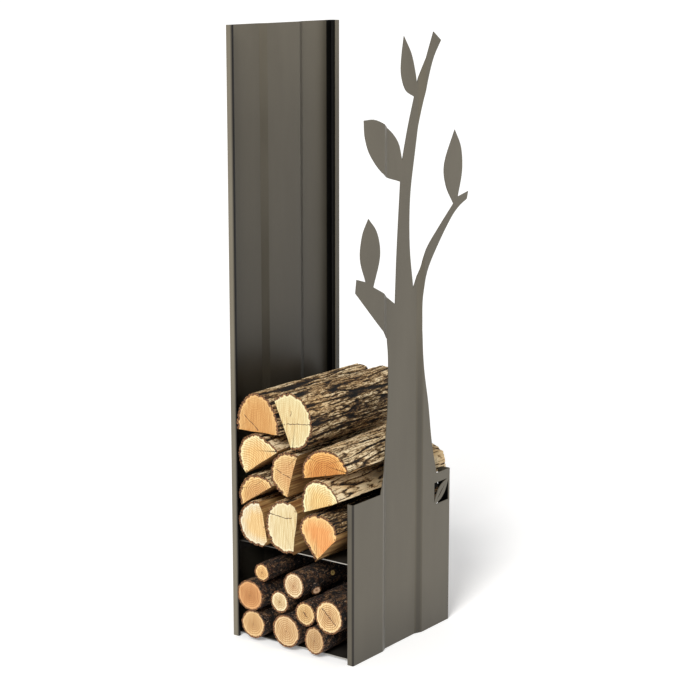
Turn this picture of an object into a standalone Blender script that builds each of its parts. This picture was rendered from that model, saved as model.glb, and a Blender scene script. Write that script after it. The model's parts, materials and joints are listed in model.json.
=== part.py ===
"""Firewood log rack: a tall side panel and a tree-shaped side panel, both folded from sheet steel, joined by
two shelves. Split logs lie on the upper shelf and small round logs on the lower one. Metres, +Z up.

X runs from the tall panel to the tree panel, and the log ends show on the open front, which faces -Y.
Sizes are measured from the middle of the rack's footprint at floor level. One empty carries every piece and
puts the middle of the whole bounding box on the origin."""

import math

import bpy
from mathutils import Matrix, Vector

# Rack
WIDTH = 0.320
DEPTH = 0.360
TALL_HEIGHT = 1.300
BODY_HEIGHT = 0.345
PANEL_SHEET = 0.0015
PANEL_BEND = 0.0028
REAR_FLANGE = 0.022
REAR_LIP = 0.015
FRONT_FLANGE = 0.016
FRONT_LIP = 0.006

# Shallow rib pressed inwards down the middle of each panel
RIB_DEPTH = 0.007
RIB_INNER = 0.055
RIB_OUTER = 0.073
RIB_BEND = 0.006

# Shelves
SHELF_SHEET = 0.002
SHELF_HALF_DEPTH = 0.1645
BASE_SHELF_TOP = 0.006
MID_SHELF_TOP = 0.212
TAB_START = 0.083
TAB_END = 0.157
TAB_HEIGHT = 0.026
TAB_BEND = 0.004
TAB_OVERLAP = 0.006
GAP = 0.0003

# Fasteners: weld studs on the panels, flange nuts inside the shelves' tabs
STUD_RADIUS = 0.003
STUD_LENGTH = 0.013
STUD_CHAMFER = 0.0008
STUD_OFFSET_Y = 0.120
STUD_OFFSET_Z = 0.015
HOLE_RADIUS = 0.0034
NUT_FLANGE_RADIUS = 0.0065
NUT_FLANGE = 0.0012
NUT_HEIGHT = 0.006
NUT_ACROSS_FLATS = 0.010
NUT_BORE_RADIUS = 0.0033
ROUND_SIDES = 24

# Tree outline on the panel, as (y, z). Each row is one smooth edge, and rows meet at corners.
TREE_TOP_REAR = 0.238
TRUNK_ROOT = BODY_HEIGHT - 0.010
CUT_SPARE = 0.015
TREE_EDGES = (
    # trunk front, then the low limb's underside, sawn end and top
    ((-0.083, BODY_HEIGHT), (-0.061, 0.427), (-0.049, 0.520), (-0.047, 0.620), (-0.052, 0.669)),
    ((-0.052, 0.669), (-0.091, 0.704), (-0.172, 0.781)),
    ((-0.172, 0.781), (-0.168, 0.808)),
    ((-0.168, 0.808), (-0.137, 0.799)),
    # low leaf, and the limb's top on to the stem
    ((-0.137, 0.799), (-0.156, 0.847), (-0.149, 0.893), (-0.128, 0.925)),
    ((-0.128, 0.925), (-0.098, 0.893), (-0.088, 0.845), (-0.111, 0.785)),
    ((-0.111, 0.785), (-0.070, 0.765), (-0.024, 0.737)),
    # stem front up to the big leaf
    ((-0.024, 0.737), (-0.018, 0.850), (-0.007, 0.987)),
    # big leaf: under side, then upper side
    ((-0.007, 0.987), (-0.072, 1.007), (-0.120, 1.048), (-0.140, 1.086), (-0.144, 1.121)),
    ((-0.144, 1.121), (-0.103, 1.119), (-0.052, 1.098), (-0.016, 1.068), (-0.001, 1.030)),
    # stem front up to the top leaf
    ((-0.001, 1.030), (0.018, 1.093), (0.041, 1.156)),
    # top leaf: front side, then rear side
    ((0.041, 1.156), (0.010, 1.171), (-0.006, 1.203), (-0.005, 1.238), (0.003, 1.279)),
    ((0.003, 1.279), (0.030, 1.243), (0.044, 1.207), (0.050, 1.183)),
    # stem tip, and the rear side down to the fork
    ((0.050, 1.183), (0.074, 1.235), (0.099, 1.285)),
    ((0.099, 1.285), (0.127, 1.267)),
    (
        (0.127, 1.267),
        (0.096, 1.225),
        (0.068, 1.149),
        (0.044, 1.040),
        (0.028, 0.950),
        (0.028, 0.850),
        (0.042, 0.761),
    ),
    # branch up to the rear leaf
    ((0.042, 0.761), (0.063, 0.799), (0.079, 0.838), (0.128, 0.881), (0.181, 0.923)),
    # rear leaf: front side, then rear side
    ((0.181, 0.923), (0.151, 0.965), (0.145, 1.012), (0.183, 1.079)),
    ((0.183, 1.079), (0.208, 1.040), (0.213, 0.990), (0.197, 0.936)),
    # branch tip and its sawn end
    ((0.197, 0.936), (TREE_TOP_REAR, 0.944)),
    ((TREE_TOP_REAR, 0.944), (0.233, 0.928)),
    # branch underside and the trunk's rear, down to the body
    (
        (0.233, 0.928),
        (0.202, 0.915),
        (0.171, 0.893),
        (0.122, 0.842),
        (0.084, 0.792),
        (0.070, 0.740),
        (0.069, 0.670),
    ),
    ((0.069, 0.670), (0.074, 0.590), (0.092, 0.505), (0.106, 0.420), (0.126, BODY_HEIGHT)),
)
EDGE_STEPS = 5

# Window near the body's top rear corner, with a leaf left standing across it
WINDOW_Y = (0.118, 0.172)
WINDOW_Z = (0.276, 0.324)
LEAF_STALK = 0.0035
LEAF_BULGE = 0.010
LEAF_RIB_BULGE = 0.0014
LEAF_STEPS = 10

# Split logs: the middle of the rounded bark side (x, z), its two radii and tilt, where the bark starts and
# ends, any further corners (x, z), how far the front end stands at -Y, the length, and the turn about Z.
SPLIT_LOGS = (
    ((-0.084, 0.2635), (0.0530, 0.0505), 0, (88, 286), ((-0.058, 0.229), (-0.070, 0.290)), 0.186, 0.335, 0),
    ((-0.0105, 0.271), (0.0520, 0.0580), 0, (58, 276), ((0.012, 0.213), (0.0255, 0.306)), 0.188, 0.340, 0),
    ((0.084, 0.281), (0.0490, 0.0370), 0, (-20, 200), ((0.077, 0.213),), 0.198, 0.392, 0),
    ((-0.085, 0.3248), (0.0510, 0.0475), 33, (0, 180), (), 0.186, 0.330, 0),
    ((0.0845, 0.32925), (0.0514, 0.0587), 22.6, (0, 180), ((0.108, 0.336),), 0.189, 0.394, -1.5),
    ((0.002, 0.384), (0.0520, 0.0500), 0, (70, 264), ((0.024, 0.430),), 0.186, 0.372, 0),
    ((-0.086, 0.411), (0.0490, 0.0505), 0, (60, 236), ((-0.025, 0.431),), 0.187, 0.325, 0),
    ((0.097, 0.398), (0.0600, 0.0560), 13, (0, 180), (), 0.190, 0.300, 3),
    ((-0.078, 0.4715), (0.0570, 0.0785), 0, (-4, 186), (), 0.192, 0.366, 0),
    ((0.006, 0.499), (0.0590, 0.0620), 0, (-86, 136), (), 0.190, 0.335, 0),
)

# Round logs: middle (x, z), the two radii, how far the front end stands at -Y, and the length
ROUND_LOGS = (
    ((-0.099, 0.0385), (0.0320, 0.0320), 0.187, 0.330),
    ((-0.008, 0.0430), (0.0365, 0.0365), 0.190, 0.335),
    ((0.066, 0.0375), (0.0260, 0.0310), 0.189, 0.335),
    ((-0.100, 0.1050), (0.0350, 0.0340), 0.196, 0.340),
    ((-0.028, 0.1025), (0.0245, 0.0250), 0.186, 0.320),
    ((-0.078, 0.1565), (0.0205, 0.0205), 0.182, 0.325),
    ((0.007, 0.1440), (0.0270, 0.0290), 0.182, 0.330),
    ((0.0385, 0.0890), (0.0270, 0.0270), 0.184, 0.325),
    ((0.102, 0.0955), (0.0350, 0.0365), 0.187, 0.335),
)
SPLIT_STEPS = 10
LOG_SIDES = 18

# The logs' front ends reach this far at -Y, and the tree's branch reaches TREE_TOP_REAR at +Y
FRONT_REACH = 0.198
FRAME_SHIFT_Y = (FRONT_REACH - TREE_TOP_REAR) / 2

LACQUER = ((0.175, 0.158, 0.135), 0.42, 0.35)
ZINC = ((0.60, 0.60, 0.58), 0.35, 1.0)
SPLIT_WOOD = ((0.70, 0.47, 0.24), 0.75, 0.0)
ROUND_WOOD = ((0.62, 0.44, 0.26), 0.80, 0.0)


# ---------------------------------------------------------------- helpers


def clear_scene():
    for obj in list(bpy.data.objects):
        bpy.data.objects.remove(obj)


def painted(obj, finish):
    """Gives the object a material of its own."""
    colour, roughness, metallic = finish
    material = bpy.data.materials.new(obj.name)
    material.use_nodes = True
    shader = material.node_tree.nodes["Principled BSDF"]
    shader.inputs["Base Color"].default_value = (*colour, 1.0)
    shader.inputs["Roughness"].default_value = roughness
    shader.inputs["Metallic"].default_value = metallic
    obj.data.materials.append(material)
    return obj


def spatial(point, along, axis):
    """A point of a flat outline, put in space: the outline's plane is square to the axis."""
    a, b = point
    return {"X": (along, a, b), "Y": (a, along, b), "Z": (a, b, along)}[axis]


def loft(name, rings, frame, ring=False):
    """A closed solid through equally long loops: capped at both ends, or joined last to first in a ring."""
    count = len(rings[0])
    spans = len(rings) if ring else len(rings) - 1
    faces = []
    for i in range(spans):
        low, high = i * count, (i + 1) % len(rings) * count
        for j in range(count):
            k = (j + 1) % count
            faces.append((low + j, low + k, high + k, high + j))
    if not ring:
        faces.append(tuple(reversed(range(count))))
        faces.append(tuple(range(len(rings) * count - count, len(rings) * count)))
    mesh = bpy.data.meshes.new(name)
    mesh.from_pydata([point for loop in rings for point in loop], [], faces)
    face_outwards(mesh)
    mesh.shade_smooth()
    mesh.set_sharp_from_angle(angle=math.radians(35))
    obj = bpy.data.objects.new(name, mesh)
    bpy.context.collection.objects.link(obj)
    obj.parent = frame
    return obj


def face_outwards(mesh):
    """Turns every face over if the closed mesh is inside out."""
    volume = 0.0
    mesh.calc_loop_triangles()
    for triangle in mesh.loop_triangles:
        a, b, c = (mesh.vertices[i].co for i in triangle.vertices)
        volume += a.dot(b.cross(c))
    if volume < 0:
        mesh.flip_normals()


def prism(name, outline, axis, start, end, frame):
    """The outline carried straight along the axis."""
    return loft(name, [[spatial(p, t, axis) for p in outline] for t in (start, end)], frame)


def boolean(obj, operation, other):
    """Applies the other solid to obj, and leaves it out of the render."""
    modifier = obj.modifiers.new(other.name, "BOOLEAN")
    modifier.operation = operation
    modifier.object = other
    other.hide_render = True
    other.display_type = "WIRE"


def circle(radius, sides, middle=(0.0, 0.0)):
    angles = [2 * math.pi * k / sides for k in range(sides)]
    return [(middle[0] + radius * math.cos(a), middle[1] + radius * math.sin(a)) for a in angles]


def smooth_edge(points, steps):
    """Points along a Catmull-Rom curve through the given ones, without the last."""
    knots = [Vector(p) for p in points]
    if len(knots) == 2:
        return [tuple(knots[0])]
    knots = [2 * knots[0] - knots[1]] + knots + [2 * knots[-1] - knots[-2]]
    found = []
    for a, b, c, d in zip(knots, knots[1:], knots[2:], knots[3:]):
        for k in range(steps):
            t = k / steps
            curve = 2 * b + (c - a) * t + (2 * a - 5 * b + 4 * c - d) * t**2 + (3 * b - a - 3 * c + d) * t**3
            found.append(tuple(curve / 2))
    return found


def bent_strip(corners, thickness, radius_at, steps=4):
    """Outline of a folded strip of sheet whose middle line runs through the corners, with rounded bends."""
    corners = [Vector(c) for c in corners]
    middle = []
    for i, corner in enumerate(corners):
        before = (corner - corners[i - 1]).normalized() if i else None
        after = (corners[i + 1] - corner).normalized() if i < len(corners) - 1 else None
        if before is None or after is None:
            along = after or before
            middle.append((corner, Vector((-along.y, along.x))))
            continue
        turn = math.atan2(before.x * after.y - before.y * after.x, before.dot(after))
        radius = radius_at(abs(turn))
        normal = Vector((-before.y, before.x)) * math.copysign(1, turn)
        centre = corner - before * radius * math.tan(abs(turn) / 2) + normal * radius
        for k in range(steps + 1):
            spoke = Matrix.Rotation(turn * k / steps, 2) @ normal
            middle.append((centre - spoke * radius, spoke * math.copysign(1, turn)))
    outer = [tuple(p + n * thickness / 2) for p, n in middle]
    inner = [tuple(p - n * thickness / 2) for p, n in middle]
    return outer + inner[::-1]


# ---------------------------------------------------------------- side panels


def panel_bend(turn):
    """Middle-line radius of a bend: tight at the square flanges, easy along the rib."""
    return PANEL_BEND - PANEL_SHEET / 2 if turn > math.radians(60) else RIB_BEND


def panel_section(side, flanged, half_depth=DEPTH / 2):
    """Section across a panel, as (x, y). side is -1 for the tall panel and 1 for the tree panel."""
    skin = PANEL_SHEET / 2
    edge = half_depth - skin
    rear = [(RIB_DEPTH + skin, RIB_INNER), (skin, RIB_OUTER), (skin, edge)]
    front = [(inwards, -y) for inwards, y in reversed(rear)]
    if flanged:
        rear += [(REAR_FLANGE - skin, edge), (REAR_FLANGE - skin, half_depth - REAR_LIP)]
        front = [(FRONT_FLANGE - skin, FRONT_LIP - half_depth), (FRONT_FLANGE - skin, -edge)] + front
    corners = [(side * (WIDTH / 2 - inwards), y) for inwards, y in front + rear]
    return bent_strip(corners, PANEL_SHEET, panel_bend)


def tall_panel(frame):
    panel = prism("tall_panel", panel_section(-1, True), "Z", 0, TALL_HEIGHT, frame)
    return painted(panel, LACQUER)


def tree_silhouette():
    """Outline of the trunk, branches and leaves, as (y, z), reaching a little down into the body."""
    outline = [point for edge in TREE_EDGES for point in smooth_edge(edge, EDGE_STEPS)]
    rear_foot = TREE_EDGES[-1][-1]
    front_foot = TREE_EDGES[0][0]
    return outline + [rear_foot, (rear_foot[0], TRUNK_ROOT), (front_foot[0], TRUNK_ROOT)]


def bulged_line(start, end, bulge, steps):
    """Points from start to end along a shallow arch that stands bulge to the left of the straight line."""
    start, end = Vector(start), Vector(end)
    along = end - start
    left = Vector((-along.y, along.x)).normalized()
    fractions = [k / steps for k in range(steps + 1)]
    return [tuple(start + along * t + left * bulge * math.sin(math.pi * t)) for t in fractions]


def window_cutters(frame):
    """What is cut from the window: the space each side of the leaf, and the slot along its midrib."""
    (front, rear), (low, high) = WINDOW_Y, WINDOW_Z
    above = bulged_line((front, low + LEAF_STALK), (rear - LEAF_STALK, high), LEAF_BULGE, LEAF_STEPS)
    below = bulged_line((rear, high - LEAF_STALK), (front + LEAF_STALK, low), LEAF_BULGE, LEAF_STEPS)
    tip, stalk = Vector((rear, high)), Vector((front, low))
    rib_start = stalk.lerp(tip, 0.18)
    rib_end = stalk.lerp(tip, 0.78)
    rib = bulged_line(rib_start, rib_end, LEAF_RIB_BULGE, LEAF_STEPS)
    rib += bulged_line(rib_end, rib_start, LEAF_RIB_BULGE, LEAF_STEPS)[1:-1]
    shapes = {
        "window_above_leaf": above + [(front, high)],
        "window_below_leaf": below + [(rear, low)],
        "leaf_midrib_slot": rib,
    }
    outside = WIDTH / 2
    return [
        prism(name, shape, "X", outside - 2 * PANEL_SHEET, outside + PANEL_SHEET, frame)
        for name, shape in shapes.items()
    ]


def tree_panel(frame):
    panel = prism("tree_panel", panel_section(1, True), "Z", 0, BODY_HEIGHT, frame)
    reach = TREE_TOP_REAR + CUT_SPARE
    sheet = prism("tree_sheet", panel_section(1, False, reach), "Z", TRUNK_ROOT, TALL_HEIGHT, frame)
    inside = WIDTH / 2 - RIB_DEPTH - 4 * PANEL_SHEET
    silhouette = prism("tree_outline", tree_silhouette(), "X", inside, WIDTH / 2 + CUT_SPARE, frame)
    boolean(sheet, "INTERSECT", silhouette)
    boolean(panel, "UNION", sheet)
    for cutter in window_cutters(frame):
        boolean(panel, "DIFFERENCE", cutter)
    return painted(panel, LACQUER)


# ---------------------------------------------------------------- shelves and fasteners


def tab_places():
    """The four places where a shelf meets the panels: side, and which end of the depth."""
    return [(side, end) for side in (-1, 1) for end in (-1, 1)]


def shelf_half_width():
    return WIDTH / 2 - PANEL_SHEET - GAP


def shelf_plan():
    """Plan of a shelf's plate, as (x, y): notched for the ribs and where the tabs bend away."""
    half = shelf_half_width()
    at_rib = half - RIB_DEPTH
    clear = 5 * GAP
    rear = [
        (at_rib, RIB_INNER + clear),
        (half, RIB_OUTER + clear),
        (half, TAB_START),
        (half - TAB_BEND, TAB_START),
        (half - TAB_BEND, TAB_END),
        (half, TAB_END),
        (half, SHELF_HALF_DEPTH),
    ]
    right = [(x, -y) for x, y in reversed(rear)] + rear
    return right + [(-x, y) for x, y in reversed(right)]


def shelf_tab(name, side, end, top, turned, frame):
    """One tab, bent up (turned 1) or down (turned -1), with its flat overlapping the plate."""
    half = shelf_half_width()
    skin = SHELF_SHEET / 2
    middle = top - skin
    corners = [
        (side * (half - TAB_BEND - TAB_OVERLAP), middle),
        (side * (half - skin), middle),
        (side * (half - skin), middle + turned * (TAB_HEIGHT - skin)),
    ]
    section = bent_strip(corners, SHELF_SHEET, lambda turn: TAB_BEND - skin)
    low, high = sorted((end * TAB_START, end * TAB_END))
    return prism(name, section, "Y", low, high, frame)


def stud_height(top, turned):
    return top + turned * STUD_OFFSET_Z


def shelf(name, top, turned, frame):
    plate = prism(name, shelf_plan(), "Z", top - SHELF_SHEET, top, frame)
    for side, end in tab_places():
        place = f"{name}_{side}_{end}"
        boolean(plate, "UNION", shelf_tab("tab_" + place, side, end, top, turned, frame))
    for side, end in tab_places():
        outline = circle(HOLE_RADIUS, ROUND_SIDES, (end * STUD_OFFSET_Y, stud_height(top, turned)))
        ends = sorted((side * shelf_half_width() * 0.95, side * WIDTH / 2))
        boolean(plate, "DIFFERENCE", prism(f"hole_{name}_{side}_{end}", outline, "X", *ends, frame))
    return painted(plate, LACQUER)


def turned_ring(radius, x):
    return [spatial(p, x, "X") for p in circle(radius, ROUND_SIDES)]


def hexagon_ring(across_flats, x):
    """A hexagon with as many points as the round rings, so that the two can be lofted together."""
    ring = []
    for k in range(ROUND_SIDES):
        angle = 2 * math.pi * k / ROUND_SIDES
        from_flat = (angle + math.pi / 6) % (math.pi / 3) - math.pi / 6
        radius = across_flats / 2 / math.cos(from_flat)
        ring.append((x, radius * math.cos(angle), radius * math.sin(angle)))
    return ring


def stud(name, frame):
    """Plain threaded stud along +X, standing on its welded end."""
    profile = [(STUD_RADIUS, 0), (STUD_RADIUS, STUD_LENGTH - STUD_CHAMFER)]
    profile.append((STUD_RADIUS - STUD_CHAMFER, STUD_LENGTH))
    return painted(loft(name, [turned_ring(r, x) for r, x in profile], frame), ZINC)


def flange_nut(name, frame):
    """Hexagon nut with a round flange, along +X from the flange's face."""
    rings = [
        turned_ring(NUT_BORE_RADIUS, 0),
        turned_ring(NUT_FLANGE_RADIUS, 0),
        turned_ring(NUT_FLANGE_RADIUS, NUT_FLANGE / 2),
        hexagon_ring(NUT_ACROSS_FLATS, NUT_FLANGE),
        hexagon_ring(NUT_ACROSS_FLATS, NUT_HEIGHT),
        turned_ring(NUT_BORE_RADIUS, NUT_HEIGHT),
    ]
    return painted(loft(name, rings, frame, ring=True), ZINC)


def fasteners(shelf_name, top, turned, frame):
    """A stud and a nut at each of the shelf's four tabs."""
    wall = WIDTH / 2 - PANEL_SHEET - GAP
    tab_face = shelf_half_width() - SHELF_SHEET - GAP
    for side, end in tab_places():
        place = f"{shelf_name}_{'tall' if side < 0 else 'tree'}_{'front' if end < 0 else 'rear'}"
        for piece, x in ((stud("stud_" + place, frame), wall), (flange_nut("nut_" + place, frame), tab_face)):
            piece.location = (side * x, end * STUD_OFFSET_Y, stud_height(top, turned))
            piece.rotation_euler = (0, 0, math.pi if side > 0 else 0)


# ---------------------------------------------------------------- logs


def bark_arc(radii, tilt, start, end, steps):
    """Points of a tilted ellipse about the origin, between two angles in degrees."""
    turn = Matrix.Rotation(math.radians(tilt), 2)
    found = []
    for k in range(steps + 1):
        angle = math.radians(start + (end - start) * k / steps)
        found.append(turn @ Vector((radii[0] * math.cos(angle), radii[1] * math.sin(angle))))
    return found


def log(name, middle, outline, front, length, turn, wood, frame):
    """A straight log along +Y. Its origin is the middle of its front end, on the line it is drawn out by."""
    obj = prism(name, outline, "Y", 0, length, frame)
    obj.location = (middle[0], -front, middle[1])
    obj.rotation_euler = (0, 0, math.radians(turn))
    return painted(obj, wood)


def split_logs(frame):
    for number, row in enumerate(SPLIT_LOGS, 1):
        middle, radii, tilt, (start, end), corners, front, length, turn = row
        outline = [tuple(p) for p in bark_arc(radii, tilt, start, end, SPLIT_STEPS)]
        outline += [(x - middle[0], z - middle[1]) for x, z in corners]
        log(f"split_log_{number:02d}", middle, outline, front, length, turn, SPLIT_WOOD, frame)


def round_logs(frame):
    for number, (middle, radii, front, length) in enumerate(ROUND_LOGS, 1):
        outline = [tuple(p) for p in bark_arc(radii, 0, 0, 360, LOG_SIDES)[:-1]]
        log(f"round_log_{number:02d}", middle, outline, front, length, 0, ROUND_WOOD, frame)


def main():
    clear_scene()
    frame = bpy.data.objects.new("rack_frame", None)
    bpy.context.collection.objects.link(frame)
    frame.location = (0, FRAME_SHIFT_Y, 0)
    tall_panel(frame)
    tree_panel(frame)
    for name, top, turned in (("base_shelf", BASE_SHELF_TOP, 1), ("mid_shelf", MID_SHELF_TOP, -1)):
        shelf(name, top, turned, frame)
        fasteners(name.split("_")[0], top, turned, frame)
    split_logs(frame)
    round_logs(frame)


main()
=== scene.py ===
"""Looks of the firewood log rack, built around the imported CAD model.

The panels, shelves, studs and nuts keep their CAD meshes and get new materials. Each log's CAD solid is replaced by
a detailed mesh with bark, split faces and sawn ends. Colours and tones were fitted to one photo in this scene's
light, so some of them hold shading: see tones, front, creases and channels on the steel."""

import json
import math

import bpy
import numpy as np
from mathutils import Euler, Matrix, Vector


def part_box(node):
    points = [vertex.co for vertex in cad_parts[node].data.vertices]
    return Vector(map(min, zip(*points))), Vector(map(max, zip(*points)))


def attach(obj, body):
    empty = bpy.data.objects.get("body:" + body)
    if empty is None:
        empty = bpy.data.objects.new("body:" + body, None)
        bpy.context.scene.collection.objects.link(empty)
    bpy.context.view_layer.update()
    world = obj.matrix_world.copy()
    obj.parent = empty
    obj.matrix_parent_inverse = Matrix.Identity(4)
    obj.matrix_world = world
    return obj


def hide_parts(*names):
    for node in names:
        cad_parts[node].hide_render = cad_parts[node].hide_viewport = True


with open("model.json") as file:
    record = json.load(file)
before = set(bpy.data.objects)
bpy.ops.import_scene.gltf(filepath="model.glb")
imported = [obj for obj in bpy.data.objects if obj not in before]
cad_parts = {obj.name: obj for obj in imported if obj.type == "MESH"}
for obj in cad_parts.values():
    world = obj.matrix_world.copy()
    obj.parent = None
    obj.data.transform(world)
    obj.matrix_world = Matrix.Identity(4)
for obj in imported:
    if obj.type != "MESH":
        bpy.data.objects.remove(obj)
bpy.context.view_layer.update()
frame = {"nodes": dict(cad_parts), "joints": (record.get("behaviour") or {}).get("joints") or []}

MM = 0.001
UP = Vector((0, 0, 1))

STEEL_DARK = (94, 88, 75)
STEEL_LIGHT = (103, 97, 84)
# Painted shade inside the panels' channels
CHANNEL_SHADE = (14, 13, 11)
ORANGE_PEEL = 900

# For each kind of log: the mesh's step round it, its rows along it, how deep its bark is, and how wide the band of
# bark is on its sawn ends
SPLIT = {"step": 1.5 * MM, "rows": 110, "bark": 4.2 * MM, "rim": 4.6 * MM}
ROUND = {"step": 2.2 * MM, "rows": 90, "bark": 1.8 * MM, "rim": 4.0 * MM}

# Corners that the CAD solids have along a split log's bark, and all round a round log
ARC_POINTS = 11
ROUND_POINTS = 18


def srgb(red, green, blue):
    """Linear colour from the usual 0-255 display values."""
    channels = [c / 255 for c in (red, green, blue)]
    return (*[c / 12.92 if c <= 0.04045 else ((c + 0.055) / 1.055) ** 2.4 for c in channels], 1.0)


# Each log's sawn ends: colour of the outer wood, of the heart, how strong the rings are and how far apart (mm),
# and its cracks as (start, end) points in mm from the outline's middle, seen from the front.
ENDS = {
    "split_log_01": ((216, 210, 184), (220, 192, 138), 0.25, 4.0, ()),
    "split_log_02": ((218, 208, 172), (214, 201, 159), 0.18, 3.5, (((-46, 22), (14, 16)), ((14, 16), (30, 19)))),
    "split_log_03": ((220, 185, 126), (218, 155, 92), 0.18, 4.5, ()),
    "split_log_04": ((227, 196, 137), (207, 166, 109), 0.85, 4.2, ()),
    "split_log_05": ((228, 224, 179), (223, 196, 135), 0.45, 4.5, ()),
    "split_log_06": ((218, 191, 137), (209, 171, 118), 0.55, 4.2, (((-14, -2), (0, -8)), ((4, -10), (22, -14)))),
    "split_log_07": ((229, 216, 169), (224, 190, 129), 0.50, 5.0, ()),
    "split_log_08": ((224, 178, 107), (201, 141, 70), 0.80, 4.0, ()),
    "split_log_09": ((211, 172, 113), (202, 155, 93), 0.35, 3.2, (((-34, -16), (0, -42)),)),
    "split_log_10": ((214, 206, 163), (212, 196, 149), 0.15, 4.0, (((-30, -16), (34, -8)), ((-18, 12), (-20, 2)))),
    "round_log_01": ((215, 185, 135), (187, 152, 104), 0.60, 4.2, ()),
    "round_log_02": ((212, 186, 143), (195, 164, 120), 0.60, 4.4, ()),
    "round_log_03": ((193, 165, 122), (170, 141, 101), 0.60, 3.8, ()),
    "round_log_04": ((207, 159, 106), (184, 133, 81), 0.60, 4.0, ()),
    "round_log_05": ((232, 220, 181), (189, 164, 117), 0.75, 3.4, ()),
    "round_log_06": ((231, 198, 139), (198, 158, 99), 0.80, 3.4, ()),
    "round_log_07": ((226, 210, 172), (196, 164, 123), 0.80, 3.8, ()),
    "round_log_08": ((219, 194, 141), (190, 156, 104), 0.80, 3.6, (((-5, 4), (5, -6)),)),
    "round_log_09": ((230, 207, 159), (195, 164, 119), 0.85, 4.2, (((-16, 16), (18, -14)),)),
}

# How much lighter or darker than the rest the bark of some logs is
SHADES = {
    "split_log_03": -0.14,
    "split_log_05": 0.075,
    "split_log_08": -0.02,
    "split_log_09": -0.04,
    "split_log_10": -0.07,
}

# Where a split log grows thicker towards its rear, past its CAD solid: how far its lower right edge drops and is
# pulled in, and where that starts and is full along the log (0 to 1), across it and up it
SWELLS = {
    "split_log_05": {
        "drop": 14 * MM,
        "pull": 4.5 * MM,
        "along": (0.55, 0.85),
        "across": (98 * MM, 118 * MM),
        "up": (372 * MM, 352 * MM),
    },
}

# Branch stubs: where each stands, the way it points, its radius and length, and its end's colours, contrast,
# spacing of rings (mm) and width of bark at the rim
STUB_LOG = "round_log_07"
STUBS = {
    "low_stub": {
        "root": (0.0262, -0.155, 0.1335),
        "direction": (0.80, -0.42, -0.34),
        "radius": 11.0 * MM,
        "length": 12.5 * MM,
        # Painted light: the low stub's end colours are its pale wood made lighter still, for an end that faces down
        # into shade
        "end": ("big_stub", (250, 214, 180), (230, 182, 140), 0.7, 3.4, (), 3.6 * MM),
    },
    "high_stub": {
        "root": (0.0300, -0.101, 0.1510),
        "direction": (0.90, -0.30, 0.25),
        "radius": 6.0 * MM,
        "length": 7.0 * MM,
        "end": ("small_stub", (196, 176, 112), (170, 146, 84), 0.3, 2.0, (), 1.0 * MM),
    },
}


# ---------------------------------------------------------------- node helpers


def put(tree, kind, inputs=None, **settings):
    """Adds a shader node. Each input is a value, or a socket to link to."""
    node = tree.nodes.new("ShaderNode" + kind)
    for key, value in settings.items():
        setattr(node, key, value)
    for key, value in (inputs or {}).items():
        if isinstance(value, bpy.types.NodeSocket):
            tree.links.new(value, node.inputs[key])
        else:
            node.inputs[key].default_value = value
    return node


def math_node(tree, operation, a, b=0.0, c=0.0, clamp=False):
    return put(tree, "Math", {0: a, 1: b, 2: c}, operation=operation, use_clamp=clamp).outputs[0]


def vector_math(tree, operation, a, b):
    node = put(tree, "VectorMath", {0: a, 1: b}, operation=operation)
    return node.outputs["Value"] if operation == "DOT_PRODUCT" else node.outputs["Vector"]


def mix(tree, factor, a, b, blend="MIX"):
    node = tree.nodes.new("ShaderNodeMix")
    node.data_type = "RGBA"
    node.blend_type = blend
    for index, value in ((0, factor), (6, a), (7, b)):
        if isinstance(value, bpy.types.NodeSocket):
            tree.links.new(value, node.inputs[index])
        else:
            node.inputs[index].default_value = value
    return node.outputs[2]


def ramp(tree, factor, stops):
    """A colour ramp from (position, colour) pairs."""
    node = put(tree, "ValToRGB", {"Fac": factor})
    elements = node.color_ramp.elements
    while len(elements) < len(stops):
        elements.new(0.5)
    for element, (position, colour) in zip(elements, stops):
        element.position = position
        element.color = colour
    return node.outputs["Color"]


def grey(value):
    return (value, value, value, 1.0)


def noise(tree, vector, scale, detail=3.0, roughness=0.55, distortion=0.0):
    values = {"Vector": vector, "Scale": scale, "Detail": detail, "Roughness": roughness, "Distortion": distortion}
    return put(tree, "TexNoise", values).outputs["Fac"]


def coordinate(tree, kind, axis):
    """One axis of the object coordinates or of the normal."""
    return put(tree, "SeparateXYZ", {0: put(tree, "TexCoord").outputs[kind]}).outputs[axis]


def stretched(tree, amounts):
    """Object coordinates with each axis scaled."""
    place = put(tree, "TexCoord").outputs["Object"]
    return vector_math(tree, "MULTIPLY", place, amounts)


def attribute(tree, name, kind="Fac"):
    return put(tree, "Attribute", attribute_name=name).outputs[kind]


def new_material(name, roughness=0.8, metallic=0.0):
    """A node material, its tree and its shader."""
    material = bpy.data.materials.new(name)
    material.use_nodes = True
    tree = material.node_tree
    shader = tree.nodes["Principled BSDF"]
    shader.inputs["Roughness"].default_value = roughness
    shader.inputs["Metallic"].default_value = metallic
    return material, tree, shader


def bump(tree, shader, height, strength, distance):
    normal = put(tree, "Bump", {"Height": height, "Strength": strength, "Distance": distance})
    tree.links.new(normal.outputs["Normal"], shader.inputs["Normal"])


# ---------------------------------------------------------------- materials


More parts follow.
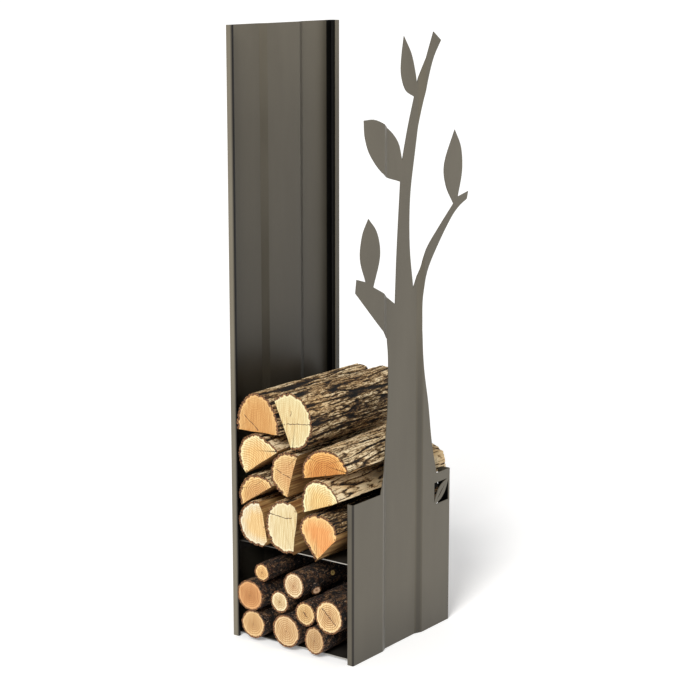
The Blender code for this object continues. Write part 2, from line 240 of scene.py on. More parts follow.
def facing_point(tree, point, reach, top):
    """1 on faces that look towards a line up through the given (x, y), and 0 elsewhere. It goes out to a distance
    from the line, and up to a height."""
    coordinates = put(tree, "TexCoord")
    place = vector_math(tree, "MULTIPLY", coordinates.outputs["Object"], (1, 1, 0))
    towards = vector_math(tree, "SUBTRACT", (*point, 0), place)
    length = put(tree, "VectorMath", {0: towards}, operation="LENGTH").outputs["Value"]
    unit = vector_math(tree, "NORMALIZE", towards, (0, 0, 0))
    facing = vector_math(tree, "DOT_PRODUCT", unit, coordinates.outputs["Normal"])
    near = ramp(tree, math_node(tree, "DIVIDE", length, reach), [(0.94, grey(1)), (1.0, grey(0))])
    height = put(tree, "SeparateXYZ", {0: coordinates.outputs["Object"]}).outputs["Z"]
    below = math_node(tree, "LESS_THAN", height, top)
    facing_in = math_node(tree, "MULTIPLY", math_node(tree, "GREATER_THAN", facing, 0.05), below)
    return math_node(tree, "MULTIPLY", near, facing_in)


def along_line(tree, point, reach):
    """1 along a line up through the given (x, y), fading out to a distance from it."""
    place = stretched(tree, (1, 1, 0))
    away = vector_math(tree, "SUBTRACT", place, (*point, 0))
    length = put(tree, "VectorMath", {0: away}, operation="LENGTH").outputs["Value"]
    return ramp(tree, math_node(tree, "DIVIDE", length, reach), [(0.35, grey(1)), (1.0, grey(0))])


def ramp_by_height(tree, stops):
    """A grey from (height, value) pairs."""
    share = math_node(tree, "DIVIDE", coordinate(tree, "Object", "Z"), TOP)
    return ramp(tree, share, [(height / TOP, grey(value)) for height, value in stops])


def shade_and_light_by_height(tree, stops):
    """A grey that depends on the height, on faces that look towards +X, and white elsewhere: painted shade where it
    is below 1, and painted light where it is above 1.
    """
    mask = ramp(tree, coordinate(tree, "Normal", "X"), [(0.30, grey(0)), (0.70, grey(1))])
    return mix(tree, mask, grey(1), ramp_by_height(tree, stops))


def lacquered_steel(name, channels=(), creases=(), fade=None, tones=((0, 1), (1, 1)), front=1.0):
    """Satin warm grey powder coat, with its fine orange peel and a faint unevenness in tone and gloss.

    It has painted shade inside the channels, each a line at (x, y), a reach and a top. Along the creases, each a
    line at (x, y), a reach, a colour and a share, which fade out between two heights, a dark colour is painted shade
    and a light one is a painted highlight. Tones multiply the colour by height on faces that look towards +X, as
    painted shade below 1 and painted light above 1, and front multiplies it on those towards -Y in the same way."""
    material, tree, shader = new_material(name, 0.38, 0.35)
    clouds = noise(tree, stretched(tree, (1, 1, 0.25)), 14, 3)
    fine = noise(tree, stretched(tree, (1, 1, 1)), ORANGE_PEEL, 2)
    tone = ramp(tree, clouds, [(0.3, srgb(*STEEL_DARK)), (0.7, srgb(*STEEL_LIGHT))])
    grain = ramp(tree, fine, [(0.3, grey(0.93)), (0.7, grey(1.0))])
    colour = mix(tree, 1.0, tone, grain, "MULTIPLY")
    # Painted shade: the channel colour stands in for the shade inside the sheet's channels
    for point, reach, top in channels:
        colour = mix(tree, facing_point(tree, point, reach, top), colour, srgb(*CHANNEL_SHADE))
    # Painted shade along the dark creases and a painted highlight along the light one
    for point, reach, shade_or_highlight, share in creases:
        along = math_node(tree, "MULTIPLY", along_line(tree, point, reach), share)
        if fade:
            along = math_node(tree, "MULTIPLY", along, ramp_by_height(tree, [(fade[0], 1), (fade[1], 0)]))
        colour = mix(tree, along, colour, srgb(*shade_or_highlight))
    # Painted shade and painted light: darker or lighter by height on faces that look towards +X
    colour = mix(tree, 1.0, colour, shade_and_light_by_height(tree, tones), "MULTIPLY")
    # Painted light where front is above 1 and painted shade where it is below 1, on faces that look towards -Y
    ahead = math_node(tree, "LESS_THAN", coordinate(tree, "Normal", "Y"), -0.8)
    colour = mix(tree, ahead, colour, mix(tree, 1.0, colour, grey(front), "MULTIPLY"))
    tree.links.new(colour, shader.inputs["Base Color"])
    gloss = ramp(tree, clouds, [(0.3, grey(0.36)), (0.7, grey(0.42))])
    tree.links.new(gloss, shader.inputs["Roughness"])
    bump(tree, shader, fine, 0.06, 0.0002)
    return material


def shelf_steel():
    """The same coat on the shelves, made much darker as painted shade, with a painted highlight along the front edge
    that fades out towards -X as painted shade."""
    material, tree, shader = new_material("shelf_steel", 0.5, 0.35)
    place = stretched(tree, (1, 1, 1))
    clouds = noise(tree, place, 12, 4)
    fine = noise(tree, place, ORANGE_PEEL, 2)
    # Painted shade: the coat here is much darker than on the panels
    tone = ramp(tree, clouds, [(0.3, srgb(34, 31, 27)), (0.7, srgb(58, 54, 48))])
    # Painted highlight along the front edge, on faces that look towards -Y, fading out towards -X as painted shade
    across = math_node(tree, "MULTIPLY_ADD", coordinate(tree, "Object", "X"), 10.0, 0.5)
    share = ramp(tree, across, [(0.1, grey(0.12)), (0.5, grey(0.9))])
    ahead = math_node(tree, "LESS_THAN", coordinate(tree, "Normal", "Y"), -0.9)
    edge_highlight = math_node(tree, "MULTIPLY", ahead, share)
    tree.links.new(mix(tree, edge_highlight, tone, srgb(176, 172, 164)), shader.inputs["Base Color"])
    bump(tree, shader, fine, 0.06, 0.0002)
    return material


def zinc_plate():
    """Zinc-plated steel with a fine spangle."""
    material, tree, shader = new_material("zinc_plate", 0.35, 1.0)
    place = stretched(tree, (1, 1, 1))
    spangle = noise(tree, place, 450, 3)
    tone = ramp(tree, spangle, [(0.3, srgb(168, 168, 164)), (0.7, srgb(205, 205, 200))])
    tree.links.new(tone, shader.inputs["Base Color"])
    bump(tree, shader, spangle, 0.05, 0.0002)
    return material


def split_bark(name, shade):
    """Thick furrowed bark: black-brown in the furrows, partly its own colour and partly painted shade, grey-brown
    between, and pale on crests and streaks, partly its own colour and partly a painted highlight.
    """
    material, tree, shader = new_material("bark_" + name, 0.92)
    relief = attribute(tree, "relief")
    streaks = noise(tree, stretched(tree, (270, 30, 270)), 1, 4, 0.75)
    specks = noise(tree, stretched(tree, (400, 130, 400)), 1, 3, 0.75)
    patches = noise(tree, stretched(tree, (24, 9, 24)), 1, 3)
    level = math_node(tree, "MULTIPLY_ADD", relief, 0.40, math_node(tree, "MULTIPLY", streaks, 0.58))
    level = math_node(tree, "MULTIPLY_ADD", specks, 0.58, math_node(tree, "ADD", level, shade - 0.28), clamp=True)
    # The darkest stops are partly painted shade in the furrows, and the palest partly a painted highlight
    bark = [
        (0.35, srgb(8, 4, 1)),
        (0.44, srgb(46, 30, 12)),
        (0.52, srgb(102, 79, 48)),
        (0.59, srgb(174, 148, 110)),
        (0.67, srgb(255, 240, 208)),
    ]
    colour = ramp(tree, level, bark)
    tint = ramp(tree, patches, [(0.35, srgb(222, 200, 168)), (0.65, srgb(255, 250, 240))])
    tree.links.new(mix(tree, 1.0, colour, tint, "MULTIPLY"), shader.inputs["Base Color"])
    rough = math_node(tree, "MULTIPLY_ADD", specks, 0.6, streaks)
    bump(tree, shader, rough, 1.0, 0.0030)
    return material


def round_bark():
    """Thin bark of young wood: dark red-brown, with pale and pinkish flakes in places."""
    material, tree, shader = new_material("round_bark", 0.88)
    relief = attribute(tree, "relief")
    scales = noise(tree, stretched(tree, (420, 240, 420)), 1, 4, 0.7)
    patches = noise(tree, stretched(tree, (40, 22, 40)), 1, 3)
    level = math_node(tree, "MULTIPLY_ADD", relief, 0.4, math_node(tree, "MULTIPLY", scales, 0.62), clamp=True)
    bark = [
        (0.42, srgb(5, 2, 1)),
        (0.60, srgb(18, 10, 5)),
        (0.70, srgb(74, 52, 34)),
        (0.84, srgb(196, 166, 128)),
    ]
    colour = ramp(tree, level, bark)
    tint = ramp(tree, patches, [(0.35, srgb(150, 112, 96)), (0.65, srgb(255, 240, 220))])
    colour = mix(tree, 1.0, colour, tint, "MULTIPLY")
    flakes = noise(tree, stretched(tree, (260, 170, 260)), 1, 4, 0.7, 0.6)
    pale = mix(tree, patches, srgb(168, 128, 118), srgb(206, 184, 146))
    colour = mix(tree, ramp(tree, flakes, [(0.60, grey(0)), (0.66, grey(0.95))]), colour, pale)
    tree.links.new(colour, shader.inputs["Base Color"])
    bump(tree, shader, math_node(tree, "MULTIPLY_ADD", flakes, 0.8, scales), 0.9, 0.0016)
    return material


def split_face():
    """Torn wood fibres along the log, in the wood's colour made darker as painted shade."""
    material, tree, shader = new_material("split_wood", 0.75)
    fibres = noise(tree, stretched(tree, (420, 9, 420)), 1, 4, 0.6)
    bands = noise(tree, stretched(tree, (60, 5, 60)), 1, 3)
    # Partly the wood's own colour and partly painted shade, as the colours are set darker
    wood = ramp(tree, fibres, [(0.3, srgb(104, 74, 40)), (0.5, srgb(168, 130, 80)), (0.7, srgb(222, 190, 134))])
    stain = ramp(tree, bands, [(0.35, srgb(176, 144, 104)), (0.6, srgb(250, 244, 232))])
    tree.links.new(mix(tree, 1.0, wood, stain, "MULTIPLY"), shader.inputs["Base Color"])
    bump(tree, shader, fibres, 0.6, 0.0010)
    return material


def crack_mask(tree, place, start, end, width):
    """1 along a jagged line between two points (mm) of a sawn end, and 0 elsewhere."""
    a, b = Vector((*start, 0)) * MM, Vector((*end, 0)) * MM
    along = (b - a).normalized()
    from_start = vector_math(tree, "SUBTRACT", place, a)
    run = vector_math(tree, "DOT_PRODUCT", from_start, along)
    across = vector_math(tree, "DOT_PRODUCT", from_start, Vector((-along.y, along.x, 0)))
    wander = math_node(tree, "SUBTRACT", noise(tree, place, 120, 2), 0.5)
    off_line = math_node(tree, "ADD", across, math_node(tree, "MULTIPLY", wander, 7 * MM))
    distance = math_node(tree, "ABSOLUTE", off_line)
    past = math_node(tree, "ABSOLUTE", math_node(tree, "SUBTRACT", run, (b - a).length / 2))
    beyond = math_node(tree, "MAXIMUM", math_node(tree, "SUBTRACT", past, (b - a).length / 2), 0.0)
    spread = math_node(tree, "ADD", distance, math_node(tree, "MULTIPLY", beyond, 0.5))
    return ramp(tree, math_node(tree, "DIVIDE", spread, width), [(0.45, grey(1)), (1.0, grey(0))])


PITH_RADIUS = 2.6 * MM
CRACK_WIDTH = 1.1 * MM


def sawn_end(name, outer, heart, contrast, spacing, cracks, rim):
    """End grain: rings round the pith, saw marks, a pale sapwood line and an uneven band of bark at the rim."""
    material, tree, shader = new_material("sawn_end_" + name, 0.72)
    pith = attribute(tree, "pith", "Vector")
    place = attribute(tree, "middle", "Vector")
    edge = attribute(tree, "edge")
    wobble = noise(tree, pith, 45, 3)
    length = put(tree, "VectorMath", {0: pith}, operation="LENGTH").outputs["Value"]
    distance = math_node(tree, "MULTIPLY_ADD", wobble, 9 * MM, length)
    rings = math_node(tree, "SINE", math_node(tree, "MULTIPLY", distance, 2 * math.pi / (spacing * MM)))
    rings = math_node(tree, "MULTIPLY_ADD", rings, 0.5, 0.5)
    late_wood = srgb(*[255 * (1 - share * contrast) for share in (0.26, 0.40, 0.56)])
    ring_tone = ramp(tree, rings, [(0.25, grey(1.0)), (0.95, late_wood)])
    clouds = noise(tree, place, 55, 4, 0.65)
    depth = math_node(tree, "MULTIPLY_ADD", math_node(tree, "SUBTRACT", clouds, 0.5), 0.030, edge)
    wood = mix(tree, ramp(tree, depth, [(0.004, grey(0)), (0.026, grey(1))]), srgb(*outer), srgb(*heart))
    wood = mix(tree, 1.0, wood, ring_tone, "MULTIPLY")
    saw = noise(tree, vector_math(tree, "MULTIPLY", place, (520, 26, 1)), 1, 3)
    wood = mix(tree, 1.0, wood, ramp(tree, saw, [(0.34, srgb(222, 198, 168)), (0.56, grey(1))]), "MULTIPLY")
    flecks = noise(tree, place, 330, 2)
    wood = mix(tree, ramp(tree, flecks, [(0.67, grey(0)), (0.73, grey(0.55))]), wood, srgb(168, 104, 52))
    core = ramp(tree, math_node(tree, "DIVIDE", length, PITH_RADIUS), [(0.4, grey(0.8)), (1.0, grey(0))])
    wood = mix(tree, core, wood, srgb(112, 72, 38))
    ragged = math_node(tree, "MULTIPLY_ADD", noise(tree, place, 210, 3, 0.7), -1.5 * rim, edge)
    pale = srgb(*[min(255, c + 12) for c in outer])
    in_rims = math_node(tree, "DIVIDE", ragged, rim)
    sapwood_band = [(0.2, grey(0)), (0.4, grey(0.55)), (0.85, grey(0.35)), (1.0, grey(0))]
    wood = mix(tree, ramp(tree, in_rims, sapwood_band), wood, pale)
    grain = noise(tree, place, 480, 3)
    cork = ramp(tree, grain, [(0.40, srgb(30, 18, 10)), (0.52, srgb(96, 60, 32)), (0.66, srgb(190, 132, 76))])
    bark = ramp(tree, in_rims, [(0.06, grey(1)), (0.26, grey(0))])
    colour = mix(tree, bark, wood, cork)
    for start, end in cracks:
        colour = mix(tree, crack_mask(tree, place, start, end, CRACK_WIDTH), colour, srgb(70, 40, 20))
    tree.links.new(colour, shader.inputs["Base Color"])
    bump(tree, shader, math_node(tree, "ADD", saw, flecks), 0.35, 0.0006)
    return material


# ---------------------------------------------------------------- relief


LATTICE_SIZE = 512
LATTICE = np.random.default_rng(11).random((LATTICE_SIZE, LATTICE_SIZE)) * 2 - 1


def ripple(across, along, cells=LATTICE_SIZE):
    """Smooth noise from -1 to 1 on a unit lattice, repeating every so many cells across."""
    across, along = np.broadcast_arrays(across, along)
    low_a, low_b = np.floor(across).astype(int), np.floor(along).astype(int)
    fade_a, fade_b = across - low_a, along - low_b
    fade_a, fade_b = (f * f * (3 - 2 * f) for f in (fade_a, fade_b))
    left, right = low_a % cells, (low_a + 1) % cells
    near, far = low_b % LATTICE_SIZE, (low_b + 1) % LATTICE_SIZE
    start = LATTICE[left, near] * (1 - fade_a) + LATTICE[right, near] * fade_a
    end = LATTICE[left, far] * (1 - fade_a) + LATTICE[right, far] * fade_a
    return start * (1 - fade_b) + end * fade_b


def furrowed(around, along, seed):
    """Height of split-log bark, from 0 in the furrows to 1 on the ridges: long rough plates that taper where two
    furrows run together. Both distances are in metres."""
    sway = 0.7 * ripple(around / 0.040 + seed * 3.1, along / 0.150 + seed * 5.7)
    sway = sway + 0.22 * ripple(around / 0.014 + seed * 1.3, along / 0.050 + seed * 2.9)
    place = around / 0.0085 + sway
    furrows = np.clip(4.2 * np.abs(ripple(place + seed * 7.7, along / 0.120 + seed * 0.9)), 0, 1) ** 0.7
    cracks = np.clip(3.4 * np.abs(ripple(1.9 * place + seed * 4.9, along / 0.044 + seed * 6.3)), 0, 1) ** 0.7
    chips = 0.5 + 0.5 * ripple(around / 0.0032 + seed, along / 0.014 + seed * 2.2)
    return np.clip(furrows * (0.25 + 0.45 * cracks + 0.45 * chips), 0, 1)


def scaly(around, along, seed):
    """Height of thin bark: small plates with shallow cracks between. Around runs from 0 to 1, and repeats."""
    sway = 0.4 * ripple(around * 26, along / 0.011, 26)
    plates = np.abs(ripple(around * 26 + sway, along / 0.013 + seed * 4.3, 26))
    fine = ripple(around * 52, along / 0.006 + seed * 2.1, 52)
    return np.clip(0.45 + 1.4 * plates + 0.3 * fine, 0, 1)


# ---------------------------------------------------------------- log outlines


def joint_axis(body):
    """The way a log lies, from its front to its rear."""
    joint = next(j for j in frame["joints"] if j["child"] == body)
    return -Vector(joint["axis"]).normalized()


def front_outline(node, axis):
    """The front end's corners in order, as (across, up) points, and how far along the axis both ends stand."""
    side = axis.cross(UP)
    points = np.array([tuple(v.co) for v in frame["nodes"][node].data.vertices])
    along = points @ np.array(axis)
    flat = points[along < (along.min() + along.max()) / 2] @ np.array([side, UP]).T
    flat = np.unique(np.round(flat, 6), axis=0)
    centre = flat.mean(axis=0)
    order = np.argsort(np.arctan2(flat[:, 1] - centre[1], flat[:, 0] - centre[0]))
    return flat[order], along.min(), along.max()


def turning(outline):
    """How sharply the outline turns at each of its corners, in radians."""
    step = np.roll(outline, -1, axis=0) - outline
    heading = np.arctan2(step[:, 1], step[:, 0])
    return (heading - np.roll(heading, 1)) % (2 * math.pi)


def bark_and_split(outline):
    """The outline's bark side as a list of points, and the split faces' corners that close it."""
    count = len(outline)
    corners = count - ARC_POINTS
    turns = turning(outline)
    windows = [sum(turns[(i + k) % count] for k in range(corners + 2)) for i in range(count)]
    first = int(np.argmax(windows))
    split = [outline[(first + k) % count] for k in range(corners + 2)]
    arc = [outline[(first + corners + 1 + k) % count] for k in range(ARC_POINTS)]
    return arc, split


def smooth_curve(points, step, closed=False):
    """Evenly close points along a Catmull-Rom curve through the given ones, without the last."""
    points = np.array(points)
    if closed:
        points = np.vstack([points[-1:], points, points[:2]])
    else:
        points = np.vstack([2 * points[0] - points[1], points, 2 * points[-1] - points[-2]])
    found = []
    for a, b, c, d in zip(points, points[1:], points[2:], points[3:]):
        count = max(1, int(round(np.linalg.norm(c - b) / step)))
        t = np.arange(count)[:, None] / count
        square, cube = (2 * a - 5 * b + 4 * c - d) * t**2, (3 * b - a - 3 * c + d) * t**3
        found.append((2 * b + (c - a) * t + square + cube) / 2)
    return np.vstack(found)


def straight_faces(points, step):
    """Evenly close points along straight lines through the given ones, without the last."""
    found = []
    for a, b in zip(points, points[1:]):
        count = max(1, int(round(np.linalg.norm(b - a) / step)))
        found.append(a + (b - a) * np.arange(count)[:, None] / count)
    return np.vstack(found)


def detailed_outline(outline, kind):
    """Close points round the log, and which of them are on bark."""
    if len(outline) == ROUND_POINTS:
        points = smooth_curve(outline, kind["step"], closed=True)
        return points, np.ones(len(points))
    arc, split = bark_and_split(outline)
    bark = smooth_curve(arc, kind["step"])
    faces = straight_faces(split, kind["step"] * 1.4)
    return np.vstack([bark, faces]), np.concatenate([np.ones(len(bark)), np.zeros(len(faces))])


def pith_of(outline):
    """Where the rings start: the middle of a round log, or near the corner where a split log's faces meet."""
    if len(outline) == ROUND_POINTS:
        return outline.mean(axis=0)
    _, split = bark_and_split(outline)
    inner = np.array(split[1:-1]) if len(split) > 2 else (split[0] + split[1])[None, :] / 2
    return inner.mean(axis=0) * 0.9 + outline.mean(axis=0) * 0.1


# ---------------------------------------------------------------- log meshes


def outward_normals(points):
    """Unit normals of a closed loop that runs anticlockwise."""
    along = np.roll(points, -1, axis=0) - np.roll(points, 1, axis=0)
    normals = np.stack([along[:, 1], -along[:, 0]], axis=1)
    return normals / np.linalg.norm(normals, axis=1)[:, None]


def side_grid(points, bark, length, kind, seed):
    """The log's skin as rows of (across, up) points from front to rear, with each point's relief from 0 to 1."""
    along = np.linspace(0, length, kind["rows"])[:, None]
    steps = np.linalg.norm(np.roll(points, -1, axis=0) - points, axis=1)
    travelled = np.concatenate([[0], np.cumsum(steps)[:-1]])
    around = travelled / steps.sum()
    relief = furrowed(travelled[None, :], along, seed) if kind is SPLIT else scaly(around[None, :], along, seed)
    fibres = 0.5 + 0.5 * ripple(travelled[None, :] / 0.0045, along / 0.11 + seed)
    waves = 0.5 + 0.5 * ripple(travelled[None, :] / 0.030, along / 0.09 + seed * 1.7)
    on_bark = bark[None, :]
    relief = relief * on_bark + fibres * (1 - on_bark)
    dent = (1 - relief) * (kind["bark"] * on_bark + 0.7 * MM * (1 - on_bark)) + waves * 1.8 * MM * (1 - on_bark)
    dent = dent + (0.5 + 0.5 * ripple(around[None, :] * 5, along / 0.16 + seed * 3, 5)) * 1.3 * MM
    centre = points.mean(axis=0)
    taper = 1 - 0.02 * along / length
    grid = centre + (points[None, :, :] - centre) * taper[:, :, None]
    grid = grid - outward_normals(points)[None, :, :] * dent[:, :, None]
    return grid, relief, along.reshape(-1)


def ease(value, start, end):
    """0 before start, 1 past end, and smooth between."""
    share = np.clip((value - start) / (end - start), 0, 1)
    return share * share * (3 - 2 * share)


def swollen(grid, along, swell):
    """The grid with a log's lower right edge dropped towards its rear."""
    share = ease(along / along[-1], *swell["along"])[:, None]
    share = share * ease(grid[:, :, 0], *swell["across"]) * ease(grid[:, :, 1], *swell["up"])
    grid = grid.copy()
    grid[:, :, 1] -= swell["drop"] * share
    grid[:, :, 0] -= swell["pull"] * share
    return grid


# A sawn end's loops: how far in from the rim (mm) the outer ones are, in how many steps the rest reach its middle,
# and how far in from the end of the log they start
CAP_INSETS = (1.0, 2.0, 3.2, 4.6, 6.5, 9.0, 12.0)
CAP_STEPS = 6
CAP_DEPTH = 1.2 * MM


def cap_rings(loop):
    """Loops from just inside the rim to nearly the middle of a sawn end, each the rim's shape made smaller."""
    centre = loop.mean(axis=0)
    radius = np.linalg.norm(loop - centre, axis=1).mean()
    shares = [1 - inset * MM / radius for inset in CAP_INSETS if inset * MM < 0.6 * radius]
    shares += [shares[-1] * (1 - k / CAP_STEPS) for k in range(1, CAP_STEPS)]
    return [centre + (loop - centre) * share for share in shares], centre


def skin_faces(loops, count):
    """Four-sided faces between neighbouring loops of so many points."""
    return [
        (r * count + k, r * count + (k + 1) % count, (r + 1) * count + (k + 1) % count, (r + 1) * count + k)
        for r in range(loops - 1)
        for k in range(count)
    ]


def sawn_cap(loop, rim, total, tilt, at_rear):
    """Closes one end of a log. The loop's points are numbered from rim, and the new ones from total. Gives the new
    points as a list of rings, how far in from the end each one stands, and the faces."""
    count = len(loop)
    rings, centre = cap_rings(loop)
    rings = rings + [centre[None, :]]
    inwards = [CAP_DEPTH + (ring - centre) @ tilt for ring in rings]
    faces = []
    previous = list(range(rim, rim + count))
    for ring in rings:
        current = list(range(total, total + len(ring)))
        total += len(ring)
        for k in range(count):
            n = (k + 1) % count
            if len(current) == 1:
                face = (previous[k], previous[n], current[0])
            else:
                face = (previous[k], previous[n], current[n], current[k])
            faces.append(face if at_rear else face[::-1])
        previous = current
    return rings, inwards, faces


def distance_to_bark(flat, grid, bark):
    """How far each point of the sawn ends is from the bark, and 1 on the skin between the rims."""
    count, skin = grid.shape[1], grid.shape[0] * grid.shape[1]
    bark_points = grid[0][bark > 0]
    edge = np.full(len(flat), 1.0)
    gaps = flat[skin:, None, :] - bark_points[None, :, :]
    edge[skin:] = np.sqrt((gaps**2).sum(axis=2)).min(axis=1)
    rim_gaps = grid[0][None] - bark_points[:, None]
    rim = np.where(bark > 0, 0.0, np.sqrt((rim_gaps**2).sum(axis=2)).min(axis=0))
    edge[:count] = rim
    edge[skin - count : skin] = rim
    return edge


def build_log(body, number):
    """Replaces a log's plain CAD solid by a detailed mesh that stays within it, but for the logs in SWELLS."""
    kind = SPLIT if body.startswith("split") else ROUND
    axis = joint_axis(body)
    side = axis.cross(UP)
    outline, front, rear = front_outline(body, axis)
    points, bark = detailed_outline(outline, kind)
    grid, relief, along = side_grid(points, bark, rear - front, kind, number * 1.37)
    if body in SWELLS:
        grid = swollen(grid, along, SWELLS[body])
    count, rows = len(points), kind["rows"]
    flat, relief = [grid.reshape(-1, 2)], [relief.reshape(-1)]
    depth = [np.repeat(along, count)]
    ragged = (0.5 + 0.5 * ripple(np.arange(count) / 2.1, number)) * 1.6 * MM * bark
    depth[0][:count] += ragged
    depth[0][-count:] -= ragged
    faces = skin_faces(rows, count)
    slots = [0 if bark[k] and bark[(k + 1) % count] else 1 for _ in range(rows - 1) for k in range(count)]
    total = rows * count
    tilt = np.array([math.sin(number * 2.3), math.cos(number * 1.9)]) * 0.02
    for at_rear in (False, True):
        rim = (rows - 1) * count if at_rear else 0
        rings, inwards, end_faces = sawn_cap(grid[-1 if at_rear else 0], rim, total, tilt, at_rear)
        flat += rings
        depth += [rear - front - inset if at_rear else inset for inset in inwards]
        relief += [np.full(len(ring), 0.5) for ring in rings]
        faces += end_faces
        slots += [2] * len(end_faces)
        total += sum(len(ring) for ring in rings)
    flat = np.vstack(flat)
    depth = np.concatenate(depth) + front
    places = flat[:, :1] * np.array(side) + flat[:, 1:] * np.array(UP) + depth[:, None] * np.array(axis)
    mesh = bpy.data.meshes.new(body + "_wood")
    mesh.from_pydata(places.tolist(), [], faces)
    mesh.polygons.foreach_set("material_index", slots)
    mesh.shade_smooth()
    sharpen_rims(mesh, count, rows)
    save_attribute(mesh, "edge", distance_to_bark(flat, grid, bark))
    save_attribute(mesh, "relief", np.concatenate(relief))
    save_attribute(mesh, "pith", flat - pith_of(outline))
    save_attribute(mesh, "middle", flat - outline.mean(axis=0))
    mesh.materials.append(split_bark(body, SHADES.get(body, 0)) if kind is SPLIT else ROUND_BARK)
    mesh.materials.append(SPLIT_FACE)
    mesh.materials.append(sawn_end(body, *ENDS[body], kind["rim"]))
    obj = bpy.data.objects.new(body + "_wood", mesh)
    bpy.context.collection.objects.link(obj)
    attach(obj, body)
    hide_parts(body)


def save_attribute(mesh, name, values):
    """Keeps a number, or a flat vector, with each vertex for the materials to read."""
    if values.ndim == 1:
        mesh.attributes.new(name, "FLOAT", "POINT").data.foreach_set("value", values.astype(np.float32))
        return
    spatial = np.column_stack([values, np.zeros(len(values))]).astype(np.float32)
    mesh.attributes.new(name, "FLOAT_VECTOR", "POINT").data.foreach_set("vector", spatial.reshape(-1))


def sharpen_rims(mesh, count, rows):
    """Keeps the edge between the skin and each sawn end crisp."""
    ends = np.zeros(len(mesh.edges) * 2, dtype=int)
    mesh.edges.foreach_get("vertices", ends)
    ends = ends.reshape(-1, 2)
    last = (rows - 1) * count
    front_rim = (ends < count).all(axis=1)
    rear_rim = ((ends >= last) & (ends < last + count)).all(axis=1)
    mesh.attributes.new("sharp_edge", "BOOLEAN", "EDGE").data.foreach_set("value", front_rim | rear_rim)


STUB_POINTS, STUB_ROWS = 20, 7
STUB_END_SHARES = (0.90, 0.75, 0.45, 0.2)


def branch_stub(name, body, root, direction, radius, length, end):
    """A short sawn-off branch: a knobbly tapered collar of bark with a pale end, standing on a log."""
    out = Vector(direction).normalized()
    across = out.cross(UP).normalized()
    high = across.cross(out)
    count, rows = STUB_POINTS, STUB_ROWS
    turn = np.arange(count) / count * 2 * math.pi
    ring = np.stack([np.cos(turn), np.sin(turn)], axis=1)
    flat, deep, relief, edge = [], [], [], []
    for row in range(rows):
        share = row / (rows - 1)
        lumps = 1 + 0.10 * ripple(turn / (2 * math.pi) * 9, share * 2 + radius * 900, 9)
        flat.append(ring * (radius * (1.25 - 0.25 * share**0.5) * lumps)[:, None])
        deep.append(np.full(count, length * share))
        relief.append(0.5 + 0.5 * ripple(turn / (2 * math.pi) * 13, share * 3, 13))
        edge.append(np.zeros(count))
    for share in STUB_END_SHARES:
        flat.append(flat[rows - 1] * share)
        deep.append(np.full(count, length - (1 - share) * 0.4 * MM))
        relief.append(np.full(count, 0.5))
        edge.append(np.full(count, radius * (1 - share)))
    loops = len(flat)
    flat, deep = np.vstack(flat), np.concatenate(deep)
    spread = np.array(root) + flat[:, :1] * np.array(across) + flat[:, 1:] * np.array(high)
    places = spread + deep[:, None] * np.array(out)
    faces = skin_faces(loops, count)
    faces.append(tuple((loops - 1) * count + k for k in range(count)))
    faces.append(tuple(reversed(range(count))))
    mesh = bpy.data.meshes.new(name)
    mesh.from_pydata(places.tolist(), [], faces)
    slots = [0] * ((rows - 1) * count) + [1] * ((loops - rows) * count + 1) + [0]
    mesh.polygons.foreach_set("material_index", slots)
    mesh.shade_smooth()
    save_attribute(mesh, "edge", np.concatenate(edge))
    save_attribute(mesh, "relief", np.concatenate(relief))
    save_attribute(mesh, "pith", flat)
    save_attribute(mesh, "middle", flat)
    mesh.materials.append(ROUND_BARK)
    mesh.materials.append(sawn_end(*end))
    obj = bpy.data.objects.new(name, mesh)
    bpy.context.collection.objects.link(obj)
    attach(obj, body)


# ---------------------------------------------------------------- the object


TALL_LOW, TALL_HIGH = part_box("tall_panel")
TREE_LOW, TREE_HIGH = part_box("tree_panel")
FRONT_FACE, REAR_FACE = TALL_LOW[1], TALL_HIGH[1]
TALL_WALL, TREE_WALL = TALL_LOW[0], TREE_HIGH[0]
TOP = TALL_HIGH[2]
MIDDLE = (FRONT_FACE + REAR_FACE) / 2

# Folds in the sheet, as distances from its outer faces or from its middle
FRONT_BEND = 1.0 * MM
RIB_SLOPE = 64 * MM
REAR_CHANNEL = (10.5 * MM, 9.5 * MM)
REAR_CHANNEL_REACH = 15 * MM
ABOVE_ALL = 2.0
BODY_CHANNEL_TOP = 0.325

# Painted shade in the rear channel and along a dark line behind the front flange, painted shade low on the inner
# face that turns to painted light at the top (tones), and painted light on the front faces (front)
TALL_STEEL = lacquered_steel(
    "tall_panel_steel",
    channels=[((TALL_WALL + REAR_CHANNEL[0], REAR_FACE - REAR_CHANNEL[1]), REAR_CHANNEL_REACH, ABOVE_ALL)],
    creases=[((TALL_WALL + 16 * MM, FRONT_FACE + 3.5 * MM), 6.0 * MM, (12, 10, 8), 1.0)],
    tones=((0.45, 0.33), (0.60, 0.36), (0.70, 0.56), (0.90, 0.72), (1.10, 0.88), (1.30, 1.20)),
    front=1.48,
)
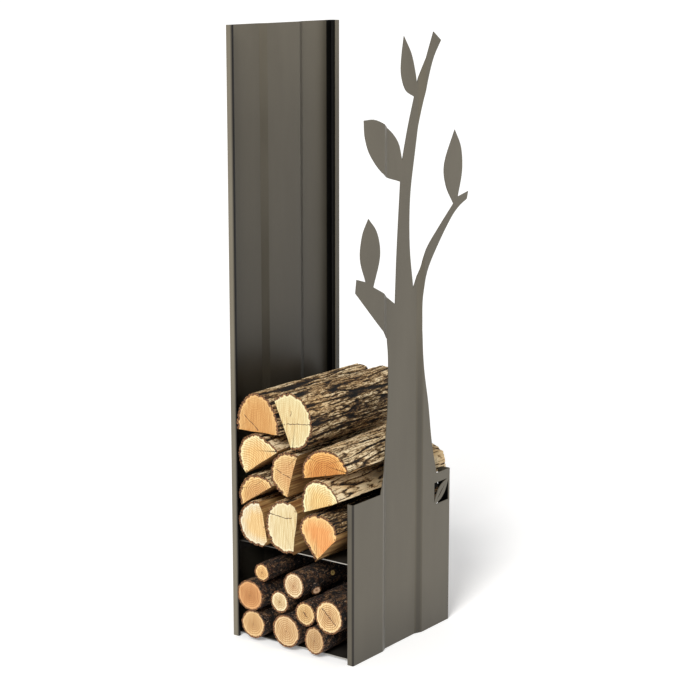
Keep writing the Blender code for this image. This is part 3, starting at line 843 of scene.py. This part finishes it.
# Painted shade in the lower body's rear channel, at the front bend and on the rib's rear slope, and a painted
# highlight beside the rib's front crease, all three fading out between 0.50 m and 0.72 m high; painted shade near
# the floor and painted light near the top (tones); painted shade on the front faces (front)
TREE_STEEL = lacquered_steel(
    "tree_panel_steel",
    channels=[((TREE_WALL - REAR_CHANNEL[0], REAR_FACE - REAR_CHANNEL[1]), REAR_CHANNEL_REACH, BODY_CHANNEL_TOP)],
    creases=[
        ((TREE_WALL - FRONT_BEND, FRONT_FACE + FRONT_BEND), 4.0 * MM, (44, 40, 34), 1.0),
        ((TREE_WALL - 3.5 * MM, MIDDLE + RIB_SLOPE), 11 * MM, (64, 60, 53), 0.65),
        ((TREE_WALL - 0.5 * MM, MIDDLE - RIB_SLOPE - 8 * MM), 3.5 * MM, (128, 122, 112), 0.8),
    ],
    fade=(0.50, 0.72),
    tones=((0, 0.62), (0.05, 0.78), (0.12, 0.94), (0.25, 1.0), (0.85, 1.0), (1.0, 1.14), (1.30, 1.22)),
    front=0.76,
)
SHELF_STEEL = shelf_steel()
ZINC = zinc_plate()
ROUND_BARK = round_bark()
SPLIT_FACE = split_face()


def repaint(node, material):
    """Gives a CAD node a new material."""
    mesh = frame["nodes"][node].data
    mesh.materials.clear()
    mesh.materials.append(material)


for node_name in frame["nodes"]:
    if node_name.startswith(("stud_", "nut_")):
        repaint(node_name, ZINC)
    elif node_name.endswith("_shelf"):
        repaint(node_name, SHELF_STEEL)
repaint("tall_panel", TALL_STEEL)
repaint("tree_panel", TREE_STEEL)

for index, body_name in enumerate(sorted(ENDS)):
    build_log(body_name, index + 1)

for stub_name, stub in STUBS.items():
    branch_stub(f"{STUB_LOG}_{stub_name}", STUB_LOG, **stub)


# ---------------------------------------------------------------- studio


FLOOR_HALF_WIDTH = 90
FLOOR_DROP = 0.5 * MM
KEY_COLOUR = (1.0, 0.985, 0.96)
LENS = 98.37
CAMERA_PLACE = (2.337, -3.201, 1.45)
CAMERA_TURN = 36.12
CAMERA_DIP = 11.85


def studio_floor():
    """A plain pale floor, just under the rack."""
    mesh = bpy.data.meshes.new("floor")
    far = FLOOR_HALF_WIDTH
    mesh.from_pydata([(-far, -far, 0), (far, -far, 0), (far, far, 0), (-far, far, 0)], [], [(0, 1, 2, 3)])
    obj = bpy.data.objects.new("floor", mesh)
    obj.location.z = -FLOOR_DROP
    bpy.context.collection.objects.link(obj)
    material, tree, shader = new_material("studio_floor", 0.9)
    cloud = noise(tree, stretched(tree, (1, 1, 1)), 2, 2)
    tree.links.new(ramp(tree, cloud, [(0.3, grey(0.90)), (0.7, grey(0.92))]), shader.inputs["Base Color"])
    shader.inputs["Emission Color"].default_value = grey(1)
    shader.inputs["Emission Strength"].default_value = 0.22
    mesh.materials.append(material)


def sun(name, azimuth, height, strength, spread, colour):
    """Even light from a wide source far away. Azimuth 0 is in front of the rack, and 90 on the tree panel's side."""
    light = bpy.data.lights.new(name, "SUN")
    light.energy = strength
    light.angle = math.radians(spread)
    light.color = colour
    obj = bpy.data.objects.new(name, light)
    obj.rotation_euler = Euler((math.radians(90 - height), 0, math.radians(azimuth)))
    bpy.context.collection.objects.link(obj)


def soft_world(strength):
    """White all round, and dimmer as a light than it looks."""
    world = bpy.data.worlds.new("studio")
    world.use_nodes = True
    tree = world.node_tree
    background = tree.nodes["Background"]
    seen = put(tree, "LightPath").outputs["Is Camera Ray"]
    tree.links.new(mix(tree, seen, grey(strength), grey(1)), background.inputs["Color"])
    bpy.context.scene.world = world
    bpy.context.scene.view_settings.view_transform = "Standard"


def camera():
    """The photo's viewing angle."""
    data = bpy.data.cameras.new("camera")
    data.lens = LENS
    data.sensor_width = 36
    obj = bpy.data.objects.new("camera", data)
    obj.location = CAMERA_PLACE
    obj.rotation_euler = Euler((math.radians(90 - CAMERA_DIP), 0, math.radians(CAMERA_TURN)))
    bpy.context.collection.objects.link(obj)
    bpy.context.scene.camera = obj


studio_floor()
soft_world(0.47)
sun("key", 17, 36, 2.9, 20, KEY_COLOUR)
camera()
